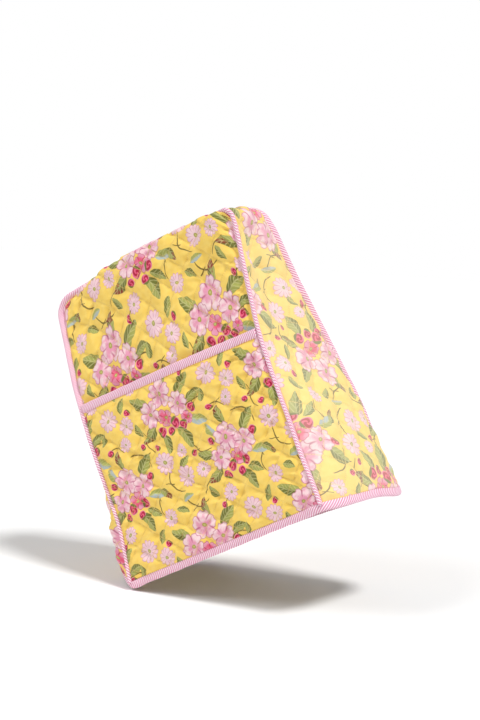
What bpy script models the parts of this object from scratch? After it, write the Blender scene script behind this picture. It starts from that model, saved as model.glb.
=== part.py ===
# Quilted stand mixer cover, hanging tilted, with a patch pocket and striped bias binding.
# Metres, +Z up. +X is the front end of the cover, -Y is the pocket side.
# The origin is the place under the top where the cover rests.

import bpy
import bmesh
import math
import numpy as np
from mathutils import Vector

# sizes of the sewn cover, in its own upright frame
hem_length = 0.366
hem_half_depth = 0.097
pocket_half_depth = 0.073
top_half_depth = 0.045
seam_half_depth_on_top = 0.036
side_height = 0.4385
top_arch = 0.0045
top_roll = 0.0185
lean = 0.0227
rear_corner_radius = 0.030
front_corner_radius = 0.013
pocket_height = 0.2560
pocket_rear_rise = 0.0080
tilt_deg = 25.0

# cloth
cloth_thickness = 0.0026
puff_height = 0.0036
cell_width = 0.0523
cell_height = 0.0452
gusset_cell = 0.0500
gusset_grain_deg = 14.0
layer_gap = 0.0006

# bindings
binding_height = 0.0105
binding_thickness = 0.0064
hem_binding_height = 0.0120
hem_binding_thickness = 0.0072
pocket_binding_height = 0.0130
pocket_binding_thickness = 0.0052
edge_inset = 0.0040
gusset_inset = 0.0043
inner_bevel = 0.0030
hem_clearance = 0.0010
seam_start = 0.003

# where the cover rests, in the upright frame
rest_point = (0.0, -0.0100, 0.4440)

for old in list(bpy.data.objects):
    bpy.data.objects.remove(old, do_unlink=True)


def smooth(t):
    t = min(max(t, 0.0), 1.0)
    return t * t * (3.0 - 2.0 * t)


def bell(t, centre, width):
    return math.exp(-((t - centre) / width) ** 2)


def half_depth(z):
    heights = (0.0, 0.13, 0.263, 0.36, 0.44)
    depths = (hem_half_depth, 0.087, pocket_half_depth, 0.058, top_half_depth)
    return float(np.interp(z, heights, depths))


def to_row(p):
    # the upright cover is turned front end up and the rest point becomes the origin
    x = p[0] - rest_point[0]
    y = p[1] - rest_point[1]
    z = p[2] - rest_point[2]
    a = math.radians(tilt_deg)
    return Vector((x * math.cos(a) - z * math.sin(a), y, x * math.sin(a) + z * math.cos(a)))


class Curve:
    # a smooth line through a few points, read by its share of the length
    def __init__(self, points):
        self.points = np.array(points, dtype=float)
        steps = np.linalg.norm(np.diff(self.points, axis=0), axis=1)
        coarse = np.concatenate(([0.0], np.cumsum(steps)))
        fine = np.linspace(0.0, coarse[-1], 401)
        self.line = np.array([self.passing(coarse, t) for t in fine])
        steps = np.linalg.norm(np.diff(self.line, axis=0), axis=1)
        self.run = np.concatenate(([0.0], np.cumsum(steps)))
        self.length = float(self.run[-1])

    def passing(self, coarse, t):
        p = self.points
        last = len(p) - 1
        i = min(max(int(np.searchsorted(coarse, t)) - 1, 0), last - 1)
        a = p[max(i - 1, 0)]
        b = p[i]
        c = p[i + 1]
        d = p[min(i + 2, last)]
        ta = coarse[max(i - 1, 0)]
        tb = coarse[i]
        tc = coarse[i + 1]
        td = coarse[min(i + 2, last)]
        f = (t - tb) / (tc - tb)
        mb = (c - a) / (tc - ta) * (tc - tb)
        mc = (d - b) / (td - tb) * (tc - tb)
        f2 = f * f
        f3 = f2 * f
        return ((2 * f3 - 3 * f2 + 1) * b + (f3 - 2 * f2 + f) * mb
                + (3 * f2 - 2 * f3) * c + (f3 - f2) * mc)

    def at(self, share):
        t = share * self.length
        return np.array([np.interp(t, self.run, self.line[:, k]) for k in range(3)])


def corner_points(cx, cz, radius, start_deg, end_deg, steps):
    points = []
    for k in range(steps + 1):
        a = math.radians(start_deg + (end_deg - start_deg) * k / steps)
        points.append((cx + radius * math.cos(a), cz + radius * math.sin(a)))
    return points


def top_pull(x, side):
    # how far the top seam is drawn in over the top, nought at the corners
    front_end = 0.178 if side < 0 else 0.163
    return smooth((x + 0.162) / 0.045) * smooth((front_end - x) / 0.032)


def outline(side):
    # the seam line of one side in three parts: rear edge, top edge, front edge
    # side is -1 for the near side and 1 for the far side
    near = side < 0
    lowest = hem_binding_height + hem_clearance
    rear_low = lowest - 0.0045 if near else lowest + 0.0060
    rear_edge = [(-0.182, rear_low), (-0.176, 0.045), (-0.170, 0.088), (-0.171, 0.130),
                 (-0.174, 0.180), (-0.176, 0.225), (-0.177, 0.300), (-0.175, 0.345),
                 (-0.172, 0.385)]
    front_edge = [(0.182, lowest - 0.0015), (0.181, 0.040), (0.178, 0.080), (0.177, 0.125),
                  (0.174, 0.175), (0.172, 0.225), (0.172, 0.265), (0.174, 0.305),
                  (0.178, 0.360), (0.181, 0.400)]
    rear_radius = rear_corner_radius if near else rear_corner_radius * 1.1
    front_radius = front_corner_radius if near else front_corner_radius * 2.1
    rear_top = side_height - 0.003
    front_top = side_height + (0.0 if near else 0.0045)
    rear_x = -0.171
    front_x = 0.182 if near else 0.171
    rear_corner = corner_points(rear_x + rear_radius, rear_top - rear_radius,
                                rear_radius, 180, 90, 6)
    front_corner = corner_points(front_x - front_radius, front_top - front_radius,
                                 front_radius, 90, 0, 6)
    if not near:
        rear_edge = [(x + 0.003 * math.sin(z * 21.0), z) for x, z in rear_edge]
        front_edge = [(x - 0.009 * smooth((z - 0.20) / 0.22) - 0.006 * smooth((0.16 - z) / 0.14),
                       z - 0.0030 * smooth((0.05 - z) / 0.04)) for x, z in front_edge]
    rear = rear_edge + rear_corner[:4]
    top = rear_corner[3:]
    for x in (-0.10, -0.05, 0.0, 0.05, 0.10):
        rise = top_arch * (1.0 - (x / 0.17) ** 2) + 0.014 * x
        top.append((x, side_height + rise - 0.0015 * math.sin(x * 30.0 + side)))
    top += front_corner[:4]
    front = front_corner[3:] + front_edge[::-1]

    def lift(flat, on_top):
        points = []
        for x, z in flat:
            depth = half_depth(z) * (1.0 if near else 1.0 - 0.09 * smooth((z - 0.2) / 0.2))
            if on_top:
                depth += (seam_half_depth_on_top - depth) * top_pull(x, side)
            points.append((x, side * depth - lean * z, z))
        return points

    return Curve(lift(rear, False)), Curve(lift(top, True)), Curve(lift(front, False))


near_rear, near_top, near_front = outline(-1)
far_rear, far_top, far_front = outline(1)


def seam_at(curves, share):
    # shares run 0 to 1 up the rear, 1 to 2 over the top and 2 to 3 down the front
    part = min(int(share), 2)
    return curves[part].at(share - part)


near_seam = (near_rear, near_top, near_front)
far_seam = (far_rear, far_top, far_front)


class Follower:
    # a line that keeps the shares of the seam it follows
    def __init__(self, points):
        self.points = np.array(points)
        self.shares = np.linspace(0.0, 1.0, len(points))

    def at(self, share):
        return np.array([np.interp(share, self.shares, self.points[:, k]) for k in range(3)])


def panel_edges(curves, side):
    # the cut edges of a side panel, just inside its seam
    edges = []
    for part in range(3):
        points = []
        for k in range(113):
            share = part + k / 112
            s = curves[part].at(k / 112)
            run = seam_at(curves, min(share + 0.03, 3.0)) - seam_at(curves, max(share - 0.03, 0.0))
            inward = np.cross(run, (0.0, float(side), 0.0)) * -side
            inward = inward / np.linalg.norm(inward)
            if part == 1:
                pull = top_pull(s[0], side)
                inward = inward * (1.0 - 0.8 * pull) + np.array((0.0, side * pull, 0.0))
            inward = inward / np.linalg.norm(inward)
            points.append(s + inward * edge_inset)
        edges.append(Follower(points))
    return edges


near_edges = panel_edges(near_seam, -1)
far_edges = panel_edges(far_seam, 1)


def quilting(across, along, width, height):
    # padded diamonds: nought on the stitch lines, one in the middle of a diamond
    p = across / width + along / height
    q = across / width - along / height
    return (abs(math.sin(math.pi * p)) * abs(math.sin(math.pi * q))) ** 0.55


def panel_base(side, u, v):
    # a side panel hung between its four edges; u runs rear to front, v hem to top
    rear, top, front = near_edges if side < 0 else far_edges
    left = rear.at(v)
    right = front.at(1.0 - v)
    upper = top.at(u)
    corner_a = rear.at(1.0)
    corner_b = front.at(0.0)
    corner_line = corner_a + (corner_b - corner_a) * u
    p = left + (right - left) * u + smooth((v - 0.55) / 0.45) * (upper - corner_line)
    if side > 0:
        p[2] += 0.0050 * math.sin(math.pi * u) * (1.0 - smooth(v / 0.5))
    # near the top the padded side rolls up and over, standing above its own seam
    sides = smooth(u / 0.28) * smooth((1.0 - u) / (0.08 if side < 0 else 0.14))
    if side > 0:
        sides *= 0.6
    rise = 1.0 - max(1.0 - (1.0 - v) / 0.055, 0.0) ** 2
    swing = 1.0 - max(1.0 - (1.0 - v) / 0.065, 0.0) ** 2
    p[2] += top_roll * smooth((v - 0.60) / 0.30) * rise * sides
    p[1] += side * 0.0085 * smooth((v - 0.78) / 0.14) * swing * sides
    # soft unevenness of hung cloth
    swell = math.sin(math.pi * u) * math.sin(math.pi * min(v * 1.02, 1.0))
    wave = 0.0015 * math.sin(9.0 * u + 5.0 * v + side) + 0.0011 * math.sin(4.0 * u - 11.0 * v)
    p[1] += side * (0.0050 * swell + wave * math.sin(math.pi * u) * math.sin(math.pi * v) ** 0.5)
    return p


def panel_cloth(u, v):
    return (u - 0.5) * hem_length, v * 0.455


def normal_of(surface, u, v, outward):
    e = 0.008
    a = surface(min(u + e, 1.0), v) - surface(max(u - e, 0.0), v)
    b = surface(u, min(v + e, 1.0)) - surface(u, max(v - e, 0.0))
    n = np.cross(a, b)
    n = n / np.linalg.norm(n)
    if np.dot(n, outward) < 0:
        n = -n
    return n


def near_panel(u, v):
    return panel_base(-1, u, v)


def far_panel(u, v):
    return panel_base(1, u, v)


def rear_bulge(z):
    return float(np.interp(z, (0.0, 0.04, 0.085, 0.126, 0.175, 0.225, 0.28, 0.36, 0.42),
                           (0.035, 0.037, 0.041, 0.031, 0.022, 0.013, 0.007, 0.003, 0.004)))


def front_bulge(z):
    return float(np.interp(z, (0.0, 0.06, 0.14, 0.20, 0.26, 0.34, 0.42),
                           (0.027, 0.026, 0.020, 0.012, 0.004, -0.001, 0.001)))


def gusset_base(share, w):
    # share runs 0 to 3 around the seam, w runs -1 on the near seam to 1 on the far seam
    a = seam_at(near_seam, share)
    b = seam_at(far_seam, share)
    p = a + (b - a) * (w + 1.0) * 0.5
    e = 0.01
    before = seam_at(near_seam, max(share - e, 0.0)) + seam_at(far_seam, max(share - e, 0.0))
    after = seam_at(near_seam, min(share + e, 3.0)) + seam_at(far_seam, min(share + e, 3.0))
    run = after - before
    out = np.array((-run[2], 0.0, run[0]))
    out = out / np.linalg.norm(out)
    z = p[2]
    full = 1.0 - abs(w) ** 4.5
    soft = 1.0 - w * w
    if share < 1.0:
        fullness = float(np.interp(z, (0.0, 0.09, 0.16), (9.0, 8.0, 5.0)))
        amount = rear_bulge(z) * (1.0 - abs(w) ** fullness)
        amount += 0.004 * soft * math.sin(z * 26.0 + 2.0 * w)
        curl = bell(z, 0.0, 0.080) * (1.0 - abs(w) ** 5.0)
        p[2] += 0.029 * curl * (1.0 - 0.22 * (w + 1.0))
    elif share < 2.0:
        amount = 0.004 * soft * (1.0 + 0.5 * math.sin(p[0] * 24.0))
    else:
        amount = front_bulge(z) * full
        # one long crease from the top that slants to the far seam, and a softer one beside it
        crease = float(np.interp(z, (0.14, 0.20, 0.25, 0.42), (0.62, 0.30, -0.12, -0.20)))
        depth = float(np.interp(z, (0.13, 0.20, 0.27, 0.37, 0.415, 0.43),
                                (0.0, 0.007, 0.013, 0.012, 0.007, 0.0)))
        amount -= depth * bell(w, crease, 0.34)
        second = float(np.interp(z, (0.10, 0.24, 0.34), (0.30, -0.55, -0.68)))
        depth = float(np.interp(z, (0.10, 0.17, 0.24, 0.33), (0.0, 0.004, 0.005, 0.0)))
        amount -= depth * bell(w, second, 0.25)
        ridge = float(np.interp(z, (0.20, 0.28, 0.40), (0.0, 0.004, 0.0)))
        amount += ridge * bell(w, crease + 0.55, 0.28)
        amount += 0.003 * soft * math.sin(z * 31.0 + 1.6 * w)
        # the lower edge sags between the side panels, most of all towards the far one
        sag = 0.004 * (1.0 - w ** 4) + 0.007 * bell(w, 0.65, 0.40) * (1.0 - w ** 6)
        p[2] -= bell(z, 0.0, 0.07) * sag
    blend = 1.0
    for joint in (1.0, 2.0):
        blend = min(blend, smooth(abs(share - joint) / 0.07))
    ease = 0.004 * soft
    p = p + out * (amount * blend + ease * (1.0 - blend))
    return p


inset_table = {}


def gusset_insets(share):
    # the shares of w at which the gusset's cut edges lie, by true distance from each seam
    key = round(share, 5)
    if key not in inset_table:
        found = []
        for side in (-1, 1):
            s = gusset_base(share, float(side))
            low = 0.0
            high = 0.3
            for _ in range(26):
                mid = (low + high) / 2
                if np.linalg.norm(gusset_base(share, side * (1.0 - mid)) - s) < gusset_inset:
                    low = mid
                else:
                    high = mid
            found.append(low)
        inset_table[key] = found
    return inset_table[key]


def gusset_surface(u, v):
    # u runs across from near to far, v runs along from the rear hem to the front hem
    share = gusset_share(v)
    a, b = gusset_insets(share)
    return gusset_base(share, -1.0 + a + u * (2.0 - a - b))


def gusset_share(v):
    lengths = [(near_rear.length + far_rear.length) / 2, (near_top.length + far_top.length) / 2,
               (near_front.length + far_front.length) / 2]
    run = v * sum(lengths)
    for k in range(3):
        if run <= lengths[k] or k == 2:
            return k + min(run / lengths[k], 1.0)
        run -= lengths[k]
    return 3.0


gusset_length = (near_rear.length + near_top.length + near_front.length)


def gusset_puff(u, v):
    share = gusset_share(v)
    a = seam_at(near_seam, share)
    b = seam_at(far_seam, share)
    across = (u - 0.5) * float(np.linalg.norm(b - a))
    along = (v - 0.5) * gusset_length
    g = math.radians(gusset_grain_deg)
    x = across * math.cos(g) - along * math.sin(g)
    y = across * math.sin(g) + along * math.cos(g)
    edge = smooth(min(u, 1.0 - u) / 0.07) * smooth(min(v, 1.0 - v) / 0.008)
    return puff_height * edge * quilting(x, y, gusset_cell, gusset_cell) ** 1.4


def share_at_height(line, height, downwards):
    low = 0.0
    high = 1.0
    for _ in range(30):
        mid = (low + high) / 2
        below = line.at(1.0 - mid if downwards else mid)[2] < height
        low = mid if below else low
        high = high if below else mid
    return low


pocket_rear_share = share_at_height(near_edges[0], pocket_height + pocket_rear_rise, False)
pocket_front_share = share_at_height(near_edges[2], pocket_height, True)


def pocket_top(u):
    # the share of the panel's height where the pocket cloth ends
    return pocket_rear_share + (pocket_front_share - pocket_rear_share) * u


def near_puff(u, v):
    a, b = panel_cloth(u, v)
    edge = smooth(min(u, 1.0 - u) / 0.03) * smooth((1.0 - v) / 0.02)
    above = smooth((v - pocket_top(u) - 0.036) / 0.025)
    return puff_height * edge * above * quilting(a, b, cell_width, cell_height)


def far_puff(u, v):
    a, b = panel_cloth(u, v)
    edge = smooth(min(u, 1.0 - u) / 0.03) * smooth(min(v, 1.0 - v) / 0.02)
    return puff_height * edge * quilting(a, b, cell_width, cell_height)


def finish(name, bm, colour, roughness):
    bmesh.ops.recalc_face_normals(bm, faces=bm.faces)
    for v in bm.verts:
        v.co = to_row(v.co)
    mesh = bpy.data.meshes.new(name)
    bm.to_mesh(mesh)
    bm.free()
    thing = bpy.data.objects.new(name, mesh)
    bpy.context.scene.collection.objects.link(thing)
    material = bpy.data.materials.new(name)
    material.use_nodes = True
    shader = material.node_tree.nodes["Principled BSDF"]
    shader.inputs["Base Color"].default_value = (colour[0], colour[1], colour[2], 1.0)
    shader.inputs["Roughness"].default_value = roughness
    mesh.materials.append(material)
    return thing


def border(us, vs):
    # the ids around a sheet's edge with their place on a loop from 0 to 4
    loop = []
    for i in range(len(us) - 1):
        loop.append((us[i], (i, 0)))
    for j in range(len(vs) - 1):
        loop.append((1.0 + vs[j], (len(us) - 1, j)))
    for i in range(len(us) - 1, 0, -1):
        loop.append((2.0 + 1.0 - us[i], (i, len(vs) - 1)))
    for j in range(len(vs) - 1, 0, -1):
        loop.append((3.0 + 1.0 - vs[j], (0, j)))
    return loop


def sheet(name, us, vs, inner_us, inner_vs, surface, puff, outward, colour, bevel, offset=None):
    # a closed padded sheet: relief outside, plain inside, joined around its edge
    # bevel holds the shares by which the inner side stops short at its four edges
    depth = cloth_thickness
    bm = bmesh.new()
    outer = {}
    height = {}
    for i, u in enumerate(us):
        for j, v in enumerate(vs):
            p = surface(u, v)
            n = normal_of(surface, u, v, outward(u, v))
            h = puff(u, v)
            lift = 0.0 if offset is None else offset(u, v)
            height[i, j] = h
            outer[i, j] = bm.verts.new(Vector(p + n * (h + lift)))
    inner = {}
    for i, u_full in enumerate(inner_us):
        for j, v_full in enumerate(inner_vs):
            u = bevel[0] + u_full * (1.0 - bevel[0] - bevel[1])
            v = bevel[2] + v_full * (1.0 - bevel[2] - bevel[3])
            p = surface(u, v)
            n = normal_of(surface, u, v, outward(u, v))
            lift = 0.0 if offset is None else offset(u, v)
            inner[i, j] = bm.verts.new(Vector(p + n * (lift - depth)))
    for i in range(len(us) - 1):
        for j in range(len(vs) - 1):
            a, b, c, d = outer[i, j], outer[i + 1, j], outer[i + 1, j + 1], outer[i, j + 1]
            if height[i, j] + height[i + 1, j + 1] <= height[i + 1, j] + height[i, j + 1]:
                bm.faces.new((a, b, c))
                bm.faces.new((a, c, d))
            else:
                bm.faces.new((a, b, d))
                bm.faces.new((b, c, d))
    for i in range(len(inner_us) - 1):
        for j in range(len(inner_vs) - 1):
            a, b, c, d = inner[i, j], inner[i + 1, j], inner[i + 1, j + 1], inner[i, j + 1]
            bm.faces.new((c, b, a))
            bm.faces.new((d, c, a))
    out_loop = border(us, vs)
    in_loop = border(inner_us, inner_vs)
    m = 0
    k = 0
    while m < len(out_loop) or k < len(in_loop):
        next_out = out_loop[m + 1][0] if m + 1 < len(out_loop) else 4.0
        next_in = in_loop[k + 1][0] if k + 1 < len(in_loop) else 4.0
        o = outer[out_loop[m % len(out_loop)][1]]
        q = inner[in_loop[k % len(in_loop)][1]]
        if m < len(out_loop) and (k >= len(in_loop) or next_out <= next_in + 1e-9):
            o2 = outer[out_loop[(m + 1) % len(out_loop)][1]]
            bm.faces.new((o, q, o2))
            m += 1
        else:
            q2 = inner[in_loop[(k + 1) % len(in_loop)][1]]
            bm.faces.new((o, q, q2))
            k += 1
    return finish(name, bm, colour, 0.85)


def bar(name, sections, closed, colour):
    # a rounded strip of binding through a row of cross-sections
    bm = bmesh.new()
    rings = []
    for section in sections:
        rings.append([bm.verts.new(Vector(p)) for p in section])
    count = len(rings[0])
    last = len(rings) if closed else len(rings) - 1
    for k in range(last):
        a = rings[k]
        b = rings[(k + 1) % len(rings)]
        for i in range(count):
            j = (i + 1) % count
            bm.faces.new((a[i], a[j], b[j]))
            bm.faces.new((a[i], b[j], b[i]))
    if not closed:
        bm.faces.new(rings[0][::-1])
        bm.faces.new(rings[-1])
        bmesh.ops.triangulate(bm, faces=[f for f in bm.faces if len(f.verts) > 4])
    return finish(name, bm, colour, 0.8)


def oval(centre, long_way, short_way, half_long, half_short, count):
    points = []
    for k in range(count):
        a = 2.0 * math.pi * (k + 0.5) / count
        points.append(centre + long_way * half_long * math.cos(a)
                      + short_way * half_short * math.sin(a))
    return points


def spread(count, start=0.0, end=1.0):
    return [start + (end - start) * k / count for k in range(count + 1)]


yellow = (0.92, 0.68, 0.16)
pale_yellow = (0.93, 0.74, 0.27)
pink = (0.86, 0.52, 0.60)


def away(p):
    # a way out of the hollow for a point of a side panel
    return np.array((0.2 * p[0], p[1] + lean * p[2], p[2] - min(p[2], 0.36)))


def near_out(u, v):
    return away(near_panel(u, v))


def far_out(u, v):
    return away(far_panel(u, v))


panel_bevel = (inner_bevel / 0.35, inner_bevel / 0.35, 0.0, inner_bevel / 0.43)

# near side: few rows behind the pocket, quilting above it
columns = [0.0, 1 / 56] + [k / 28 for k in range(1, 28)] + [55 / 56, 1.0]
inner_columns = [0.0, 1 / 56, 1 / 28] + [k / 28 for k in range(2, 27, 2)]
inner_columns += [27 / 28, 55 / 56, 1.0]
top_rows = [k / 40 for k in range(36, 40)] + [79 / 80, 1.0]
near_rows = [k * 2.0 / 40.0 for k in range(12)] + [k / 40.0 for k in range(24, 36)] + top_rows
near_inner_rows = [k * 2.0 / 40.0 for k in range(12)] + [k / 40.0 for k in range(24, 36, 2)]
near_inner_rows += top_rows
sheet("pocket_panel", columns, near_rows, inner_columns, near_inner_rows, near_panel, near_puff,
      near_out, yellow, panel_bevel)

# far side
far_rows = [k / 40 for k in range(0, 36, 2)] + top_rows
sheet("back_panel", inner_columns, far_rows, inner_columns, far_rows, far_panel, far_puff, far_out,
      yellow, panel_bevel)


def share_to_v(share):
    low = 0.0
    high = 1.0
    for _ in range(40):
        mid = (low + high) / 2
        if gusset_share(mid) < share:
            low = mid
        else:
            high = mid
    return (low + high) / 2


def gusset_out(u, v):
    share = gusset_share(v)
    before = seam_at(near_seam, max(share - 0.01, 0.0))
    after = seam_at(near_seam, min(share + 0.01, 3.0))
    run = after - before
    out = np.array((-run[2], 0.0, run[0]))
    return out / np.linalg.norm(out)


rear_shares = [k / 40 for k in range(0, 36, 2)] + top_rows[:-1]
top_shares = [1.0 + u for u in inner_columns[:-1]]
front_shares = [2.0, 2.0 + 1 / 80] + [2.0 + k / 40 for k in range(1, 41)]
gusset_rows = [share_to_v(s) for s in rear_shares + top_shares + front_shares]
gusset_rows[0] = 0.0
gusset_rows[-1] = 1.0
front_inner = [3.0 - v for v in top_rows[::-1]] + [2.0 + k / 40 for k in range(6, 42, 2)]
gusset_inner_rows = [share_to_v(s) for s in rear_shares + top_shares + front_inner]
gusset_inner_rows[0] = 0.0
gusset_inner_rows[-1] = 1.0
steps = 14
across = [0.5 - 0.5 * math.cos(math.pi * (0.13 + 0.74 * k / steps)) / math.cos(math.pi * 0.13)
          for k in range(steps + 1)]
across[0] = 0.0
across[-1] = 1.0
sheet("gusset", across, gusset_rows, across, gusset_inner_rows, gusset_surface, gusset_puff,
      gusset_out, pale_yellow, (0.022, 0.022, 0.0, 0.0))


# pocket: a patch lying on the near side
def pocket_surface(u, v):
    return panel_base(-1, u, v * pocket_top(u))


def pocket_lift(u, v):
    slack = 0.0010 * math.sin(math.pi * u) * smooth((v - 0.4) / 0.6)
    return layer_gap + slack + cloth_thickness


def pocket_puff(u, v):
    a, b = panel_cloth(u, v * pocket_top(u))
    edge = smooth(min(u, 1.0 - u) / 0.03) * smooth(min(v, 1.0 - v) / 0.045)
    return puff_height * edge * quilting(a, b, cell_width, cell_height)


pocket_rows = spread(24)
pocket_columns = spread(28)
sheet("pocket", pocket_columns, pocket_rows, pocket_columns[::2], pocket_rows[::2],
      pocket_surface, pocket_puff, near_out, yellow, (0.0, 0.0, 0.0, 0.0), pocket_lift)

# striped strip on the pocket's top edge
sections = []
for u in spread(20):
    p = pocket_surface(u, 1.0)
    n = normal_of(pocket_surface, u, 1.0, near_out(u, 1.0))
    up = pocket_surface(u, 1.0) - pocket_surface(u, 0.96)
    up = up / np.linalg.norm(up)
    lift = pocket_lift(u, 1.0) - cloth_thickness + pocket_binding_thickness / 2
    centre = p + n * lift + up * (pocket_binding_height / 2 + 0.0004)
    sections.append(oval(centre, up, n, pocket_binding_height / 2, pocket_binding_thickness / 2, 8))
bar("pocket_binding", sections, False, pink)


cover_middle = np.array((0.0, -0.005, 0.22))


def seam_binding(name, curves, side):
    # a bound seam standing out along the line that halves the corner
    shares = [seam_start] + rear_shares[1:] + top_shares + front_inner[:-1] + [3.0 - seam_start]
    rings = []
    for share in shares:
        s = seam_at(curves, share)
        if share <= 1.0:
            inside = panel_base(side, 0.02, min(share, 0.98))
        elif share < 2.0:
            inside = panel_base(side, min(max(share - 1.0, 0.02), 0.98), 0.975)
        else:
            inside = panel_base(side, 0.98, min(3.0 - share, 0.98))
        run = seam_at(curves, min(share + 0.02, 3.0)) - seam_at(curves, max(share - 0.02, 0.0))
        run = run / np.linalg.norm(run)
        panel_out = np.cross(run, inside - s)
        gusset_way = np.cross(run, gusset_base(share, side * 0.88) - s)
        panel_out = panel_out / np.linalg.norm(panel_out)
        gusset_way = gusset_way / np.linalg.norm(gusset_way)
        if np.dot(panel_out, s - cover_middle) < 0:
            panel_out = -panel_out
        if np.dot(gusset_way, gusset_out(0.5, share_to_v(share))) < 0:
            gusset_way = -gusset_way
        middle = panel_out + gusset_way
        middle = middle / np.linalg.norm(middle)
        across_way = np.cross(run, middle)
        centre = s + middle * 0.0010
        rings.append(oval(centre, middle, across_way, binding_height / 2, binding_thickness / 2, 8))
    return bar(name, rings, False, pink)


seam_binding("near_seam_binding", near_seam, -1)
seam_binding("far_seam_binding", far_seam, 1)


# hem binding: one closed strip below the lower edges of all the cloth
def hem_edge():
    # the middle line of the lower edges, once around
    points = []
    half = cloth_thickness / 2
    for u in spread(14)[1:-1]:
        points.append(panel_base(-1, u, 0.0) + np.array((0.0, half - 0.0016, 0.0)))
    points.append(seam_at(near_seam, 3.0))
    for u in across[1:-1]:
        points.append(gusset_surface(u, 1.0) + np.array((-half, 0.0, 0.0)))
    points.append(seam_at(far_seam, 3.0))
    for u in spread(14)[-2:0:-1]:
        points.append(panel_base(1, u, 0.0) + np.array((0.0, -half, 0.0)))
    points.append(seam_at(far_seam, 0.0))
    for u in across[-2:0:-1]:
        points.append(gusset_surface(u, 0.0) + np.array((half, 0.0, 0.0)))
    points.append(seam_at(near_seam, 0.0))
    return points


edge = hem_edge()
sections = []
for k, p in enumerate(edge):
    before = p - edge[k - 1]
    after = edge[(k + 1) % len(edge)] - p
    before = before / np.linalg.norm(before)
    after = after / np.linalg.norm(after)
    run = before + after
    run = run / np.linalg.norm(run)
    side_way = np.cross(run, (0.0, 0.0, 1.0))
    side_way = side_way / np.linalg.norm(side_way)
    up_way = np.cross(side_way, run)
    stretch = min(1.0 / max(float(np.dot(run, after)), 0.6), 1.45)
    centre = p - up_way * (hem_binding_height / 2 + hem_clearance) * stretch ** 0.5
    sections.append(oval(centre, up_way, side_way, hem_binding_height / 2,
                         hem_binding_thickness / 2 * stretch, 8))
bar("hem_binding", sections, True, pink)
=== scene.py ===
# Quilted stand mixer cover hanging tilted: printed quilted sheets and striped bias binding.
# Metres and +Z up throughout. +X is the front end and -Y the side with the pocket.

import math
import bmesh
import bpy
import numpy as np
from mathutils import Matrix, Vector


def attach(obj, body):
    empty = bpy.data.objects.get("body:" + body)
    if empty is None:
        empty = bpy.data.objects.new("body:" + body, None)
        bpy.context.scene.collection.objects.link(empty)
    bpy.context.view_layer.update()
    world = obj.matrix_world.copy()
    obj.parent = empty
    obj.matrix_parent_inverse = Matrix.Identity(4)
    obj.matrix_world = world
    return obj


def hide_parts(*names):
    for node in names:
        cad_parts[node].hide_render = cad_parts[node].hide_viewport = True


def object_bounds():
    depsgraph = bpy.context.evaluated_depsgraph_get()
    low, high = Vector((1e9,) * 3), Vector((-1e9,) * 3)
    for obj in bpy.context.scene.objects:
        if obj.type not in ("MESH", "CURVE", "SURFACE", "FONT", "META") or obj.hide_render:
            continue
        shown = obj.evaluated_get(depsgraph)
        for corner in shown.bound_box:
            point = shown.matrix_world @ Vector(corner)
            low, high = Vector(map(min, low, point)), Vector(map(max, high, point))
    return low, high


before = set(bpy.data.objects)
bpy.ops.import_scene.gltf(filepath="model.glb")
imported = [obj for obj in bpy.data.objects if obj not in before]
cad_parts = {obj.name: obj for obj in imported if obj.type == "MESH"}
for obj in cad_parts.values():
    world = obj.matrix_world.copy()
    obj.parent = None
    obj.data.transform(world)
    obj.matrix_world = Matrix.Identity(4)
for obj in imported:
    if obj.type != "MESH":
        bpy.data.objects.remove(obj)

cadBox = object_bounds()
print("frame loaded:", len(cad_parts), "nodes")


# the sewn form, in its own upright frame
cover = {
    "hemLength": 0.366,
    "hemHalfDepth": 0.097,
    "pocketHalfDepth": 0.073,
    "topHalfDepth": 0.045,
    "seamHalfDepthOnTop": 0.036,
    "sideHeight": 0.4385,
    "topArch": 0.0045,
    "topRoll": 0.0185,
    "rollOutwards": 0.0085,
    "farHemArch": 0.0050,
    "lean": 0.0227,
    "rearCornerRadius": 0.030,
    "frontCornerRadius": 0.013,
    "pocketHeight": 0.2560,
    "pocketRearRise": 0.0080,
    "tiltDegrees": 25.0,
    "restPoint": (0.0, -0.0100, 0.4440),
    "lowestCloth": 0.0130,
    "clothThickness": 0.0026,
    "panelInset": 0.0022,
    "sideRun": 0.455,  # up the cloth of a side, hem to top seam
}


def smooth(t):
    t = np.clip(t, 0.0, 1.0)
    return t * t * (3.0 - 2.0 * t)


def bell(t, centre, width):
    return np.exp(-((t - centre) / width) ** 2)


def unit(vectors):
    return vectors / np.maximum(np.linalg.norm(vectors, axis=-1, keepdims=True), 1e-9)


def halfDepth(z):
    depths = (cover["hemHalfDepth"], 0.087, cover["pocketHalfDepth"], 0.058, cover["topHalfDepth"])
    return np.interp(z, (0.0, 0.13, 0.263, 0.36, 0.44), depths)


def toRow(points):
    # the upright cover is turned front end up and its rest point becomes the origin
    p = points - np.array(cover["restPoint"])
    a = math.radians(cover["tiltDegrees"])
    x = p[..., 0] * math.cos(a) - p[..., 2] * math.sin(a)
    z = p[..., 0] * math.sin(a) + p[..., 2] * math.cos(a)
    return np.stack([x, p[..., 1], z], axis=-1)


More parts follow.
